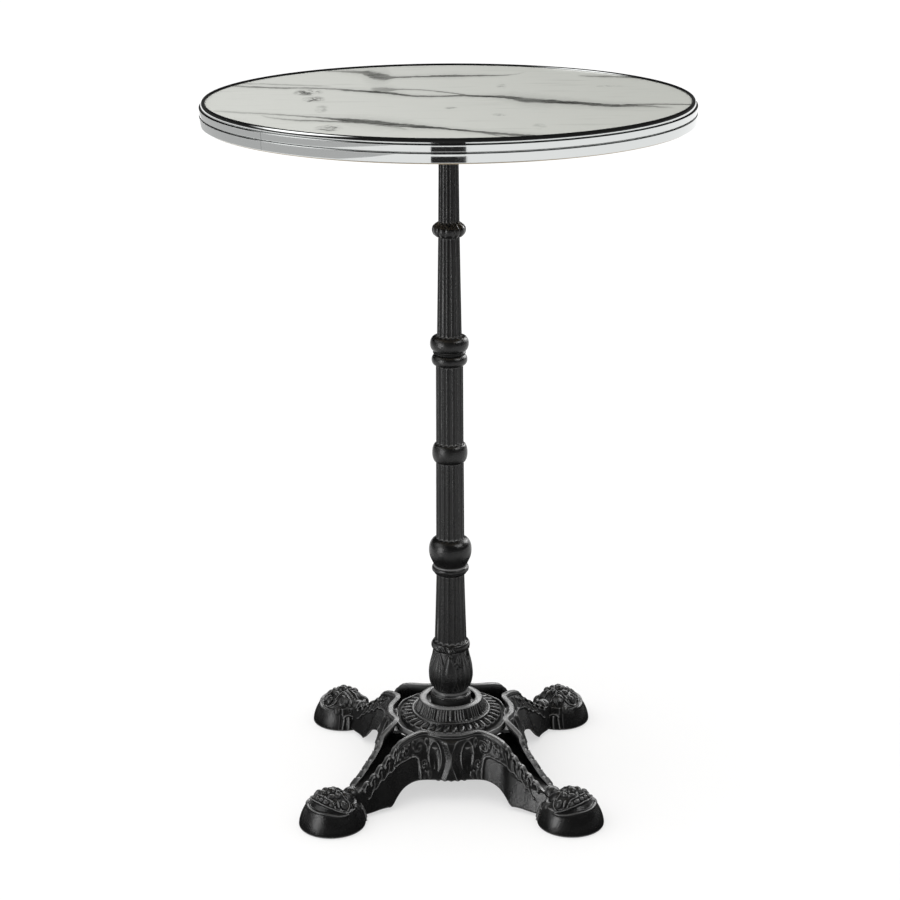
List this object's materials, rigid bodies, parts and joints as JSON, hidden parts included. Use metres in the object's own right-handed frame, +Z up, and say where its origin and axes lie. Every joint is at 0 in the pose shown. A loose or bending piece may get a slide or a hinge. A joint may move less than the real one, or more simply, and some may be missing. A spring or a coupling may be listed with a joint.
{
  "type": "bistro table",
  "caption": "Round bar-height bistro table with a metal-banded marble-look top on a fluted cast column and a cast base with paw feet.",
  "frame": {"origin": "on the floor, under the column's axis", "axes": "+Z up along the column; the four feet stand on the diagonals between +X and +Y; -Y is the front"},
  "size_m": [0.7, 0.6999, 1.05],
  "materials": {
    "marble_laminate": "satin marble-look laminate with dark grey veins",
    "core_board": "raw board",
    "backing_sheet": "matt brown backing laminate",
    "chrome_band": "polished",
    "zinc_steel": "zinc plated",
    "black_iron": "satin black paint over cast iron",
    "glide_plastic": "matt black nylon"
  },
  "bodies": {
    "table": {"top_laminate": "marble_laminate", "top_core": "core_board", "backing_laminate": "backing_sheet", "edge_band": "chrome_band", "band_joint_sleeve": "zinc_steel", "band_pins": "zinc_steel", "top_spider": "black_iron", "top_screws": "zinc_steel", "tie_rod": "zinc_steel", "top_washer": "zinc_steel", "top_nut": "zinc_steel", "column_upper": "black_iron", "column_middle": "black_iron", "column_lower": "black_iron", "base_casting": "black_iron", "bottom_washer": "zinc_steel", "bottom_nut": "zinc_steel"},
    "pad_front_left": {"glide_pad_front_left": "glide_plastic"},
    "stud_front_left": {"glide_stud_front_left": "zinc_steel"},
    "pad_front_right": {"glide_pad_front_right": "glide_plastic"},
    "stud_front_right": {"glide_stud_front_right": "zinc_steel"},
    "pad_back_left": {"glide_pad_back_left": "glide_plastic"},
    "stud_back_left": {"glide_stud_back_left": "zinc_steel"},
    "pad_back_right": {"glide_pad_back_right": "glide_plastic"},
    "stud_back_right": {"glide_stud_back_right": "zinc_steel"}
  },
  "joints": [
    {"name": "glide_front_left_lift", "type": "slide", "parent": "table", "child": "pad_front_left", "axis": [0, 0, -1], "range_m": [0, 0.008]},
    {"name": "glide_front_left_screw", "type": "hinge", "parent": "pad_front_left", "child": "stud_front_left", "pos_m": [-0.177, -0.177, 0.0045], "axis": [0, 0, -1], "range_deg": [0, 2304]},
    {"name": "glide_front_right_lift", "type": "slide", "parent": "table", "child": "pad_front_right", "axis": [0, 0, -1], "range_m": [0, 0.008]},
    {"name": "glide_front_right_screw", "type": "hinge", "parent": "pad_front_right", "child": "stud_front_right", "pos_m": [0.177, -0.177, 0.0045], "axis": [0, 0, -1], "range_deg": [0, 2304]},
    {"name": "glide_back_left_lift", "type": "slide", "parent": "table", "child": "pad_back_left", "axis": [0, 0, -1], "range_m": [0, 0.008]},
    {"name": "glide_back_left_screw", "type": "hinge", "parent": "pad_back_left", "child": "stud_back_left", "pos_m": [-0.177, 0.177, 0.0045], "axis": [0, 0, -1], "range_deg": [0, 2304]},
    {"name": "glide_back_right_lift", "type": "slide", "parent": "table", "child": "pad_back_right", "axis": [0, 0, -1], "range_m": [0, 0.008]},
    {"name": "glide_back_right_screw", "type": "hinge", "parent": "pad_back_right", "child": "stud_back_right", "pos_m": [0.177, 0.177, 0.0045], "axis": [0, 0, -1], "range_deg": [0, 2304]}
  ],
  "couplings": [
    {"joint": "glide_front_left_screw", "follows": "glide_front_left_lift", "rad_per_m": 5026.5},
    {"joint": "glide_front_right_screw", "follows": "glide_front_right_lift", "rad_per_m": 5026.5},
    {"joint": "glide_back_left_screw", "follows": "glide_back_left_lift", "rad_per_m": 5026.5},
    {"joint": "glide_back_right_screw", "follows": "glide_back_right_lift", "rad_per_m": 5026.5}
  ]
}
